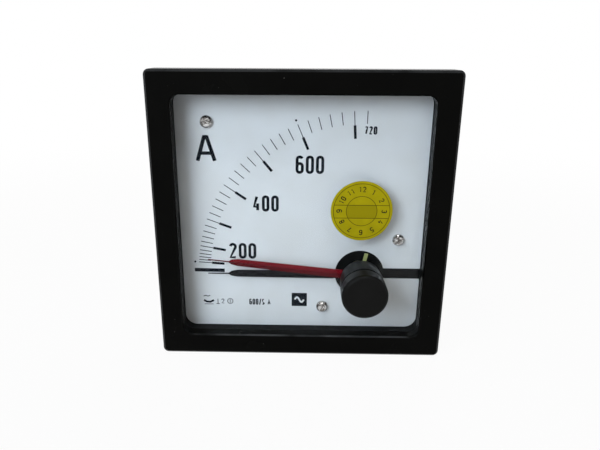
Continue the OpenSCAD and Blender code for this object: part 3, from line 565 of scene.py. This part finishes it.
signs = [
    stroke([(-34.5, -31.7), (-33.4, -32.35), (-32.2, -32.4), (-30.9, -31.75)], 0.75, PRINT_Y),
    stroke([(-34.3, -33.25), (-31.1, -33.25)], 0.22, PRINT_Y),
    stroke([(-34.6, -30.2), (-33.8, -29.9), (-33.0, -30.2), (-32.2, -29.9)], 0.3, PRINT_Y),
    stroke([(-29.5, -31.2), (-29.5, -33.1)], 0.26, PRINT_Y),
    stroke([(-30.1, -33.1), (-28.9, -33.1)], 0.26, PRINT_Y),
    stroke(arc((-25.1, -32.0), 0.95, 0, 342, 20), 0.26, PRINT_Y, closed=True),
    stroke([(-25.1, -32.6), (-25.1, -31.4)], 0.26, PRINT_Y),
]
signs += lettering("2", -28.3, -27.2, -32.95, -31.1, 0.26, 0.2)
printed(signs, "dial_signs")

deselect()
patch_place = (PATCH_AT[0] * MM, (PRINT_Y + INK_T / 2) * MM, PATCH_AT[1] * MM)
bpy.ops.mesh.primitive_cube_add(size=1, location=patch_place)
bpy.ops.transform.resize(value=(PATCH_SIZE[0] * MM, INK_T * MM, PATCH_SIZE[1] * MM))
printed([bpy.context.object], "dial_patch")
wave = [(-2.1 + 0.2 * i, PATCH_AT[1] + 0.95 * math.sin(math.radians(22.5 * i))) for i in range(17)]
printed([stroke(wave, 0.62, PRINT_Y - 0.03, thickness=0.04)], "patch_sign", "dial_white")

label = []
for hour in range(1, 13):
    text = str(hour)
    half = 0.62 * len(text)
    x, z = STICKER_AT[0], STICKER_AT[1] + 6.35
    turn = math.radians(-30 * hour)
    label += lettering(text, x - half, x + half, z, z + 1.95, 0.38, 0.2, STICKER_Y - 0.02, turn, STICKER_AT)
printed(label, "sticker_numbers")


# ---------------------------------------------------------------- studio

scene = bpy.context.scene
scene.view_settings.view_transform = "Standard"

camera_data = bpy.data.cameras.new("camera")
camera_data.lens = 32.549
camera_data.sensor_width = 36.0
camera_data.sensor_fit = "HORIZONTAL"
camera_data.shift_x = 10 / 600
camera_data.clip_start = 0.005
camera = bpy.data.objects.new("camera", camera_data)
camera.matrix_world = Matrix(
    (
        (0.99978, -0.01075, 0.01822, -0.00055),
        (0.02067, 0.31265, -0.94964, -0.1743),
        (0.00451, 0.94981, 0.3128, 0.05444),
        (0, 0, 0, 1),
    )
)
scene.collection.objects.link(camera)
scene.camera = camera


def lamp(name, place, target, width, height, watts, colour=(1, 1, 1)):
    """A soft rectangular lamp at place, facing target."""
    data = bpy.data.lights.new(name, "AREA")
    data.shape = "RECTANGLE"
    data.size = width
    data.size_y = height
    data.energy = watts
    data.color = colour
    piece = bpy.data.objects.new(name, data)
    piece.location = place
    piece.rotation_euler = (Vector(target) - Vector(place)).to_track_quat("-Z", "Y").to_euler()
    piece.visible_camera = False
    scene.collection.objects.link(piece)


def from_side(target, distance, azimuth, elevation):
    """A place that far from target: azimuth to the right of the front, elevation above it, in degrees."""
    a, e = math.radians(azimuth), math.radians(elevation)
    way = (math.sin(a) * math.cos(e), -math.cos(a) * math.cos(e), math.sin(e))
    return tuple(t + distance * w for t, w in zip(target, way))


lamp("key_lamp", from_side((0, 0, 0), 0.6, -37, 25), (0, 0, 0), 0.35, 0.35, 1.75, (0.80, 0.89, 1.0))
lamp("front_lamp", (0.15, -0.75, 0.55), (0, 0, 0), 0.6, 0.4, 0.12, (1.0, 0.93, 0.86))
lamp("top_lamp", (-0.1, -0.26, 0.8), (0, 0, 0), 0.5, 0.12, 1.8)
lamp("rear_lamp", (0.2, 0.7, 0.5), (0, 0, 0), 0.5, 0.4, 2.5)


def seen_directly(tree):
    """1 for a ray from the camera, a shiny surface or glass that no matt surface has scattered, else 0."""
    path = tree.nodes.new("ShaderNodeLightPath").outputs

    def maths(operation, one, two):
        made = tree.nodes.new("ShaderNodeMath")
        made.operation = operation
        tree.links.new(one, made.inputs[0])
        if isinstance(two, float):
            made.inputs[1].default_value = two
        else:
            tree.links.new(two, made.inputs[1])
        return made.outputs[0]

    seen = maths("MAXIMUM", path["Is Camera Ray"], path["Is Glossy Ray"])
    seen = maths("MAXIMUM", seen, path["Is Transmission Ray"])
    return maths("MULTIPLY", seen, maths("LESS_THAN", path["Diffuse Depth"], 0.5))


world = bpy.data.worlds.new("studio")
scene.world = world
world.use_nodes = True
tree = world.node_tree
lit = tree.nodes["Background"]
lit.inputs["Color"].default_value = (1.0, 0.84, 0.70, 1)
lit.inputs["Strength"].default_value = 0.105
shown = tree.nodes.new("ShaderNodeBackground")
shown.inputs["Color"].default_value = (1, 1, 1, 1)
shown.inputs["Strength"].default_value = 1.0
both = tree.nodes.new("ShaderNodeMixShader")
tree.links.new(seen_directly(tree), both.inputs[0])
tree.links.new(lit.outputs[0], both.inputs[1])
tree.links.new(shown.outputs[0], both.inputs[2])
tree.links.new(both.outputs[0], tree.nodes["World Output"].inputs[0])

deselect()
bpy.ops.mesh.primitive_plane_add(size=40, location=(0, 0, FLOOR_Z * MM))
floor = bpy.context.object
floor.name = "floor"
bpy.ops.object.transform_apply(location=True)
pale = Finish("pale_floor", (0.82, 0.82, 0.82), 0.9)
east, north, _ = pale.axes(pale.mapped())
distance = (east * east + north * north) ** 0.5
glow = pale.node("ShaderNodeEmission", {}, {"Color": (1, 1, 1), "Strength": 1.0})
floor_mix = pale.node("ShaderNodeMixShader", {}, {1: pale.shader.outputs[0], 2: glow.outputs[0]})
far = distance.ramp(150, 500)
pale.set(floor_mix, {0: (0.95 + 0.05 * far) * Field(pale, seen_directly(pale.material.node_tree))})
pale.set(pale.output, {"Surface": floor_mix.outputs[0]})
floor.data.materials.append(pale.material)
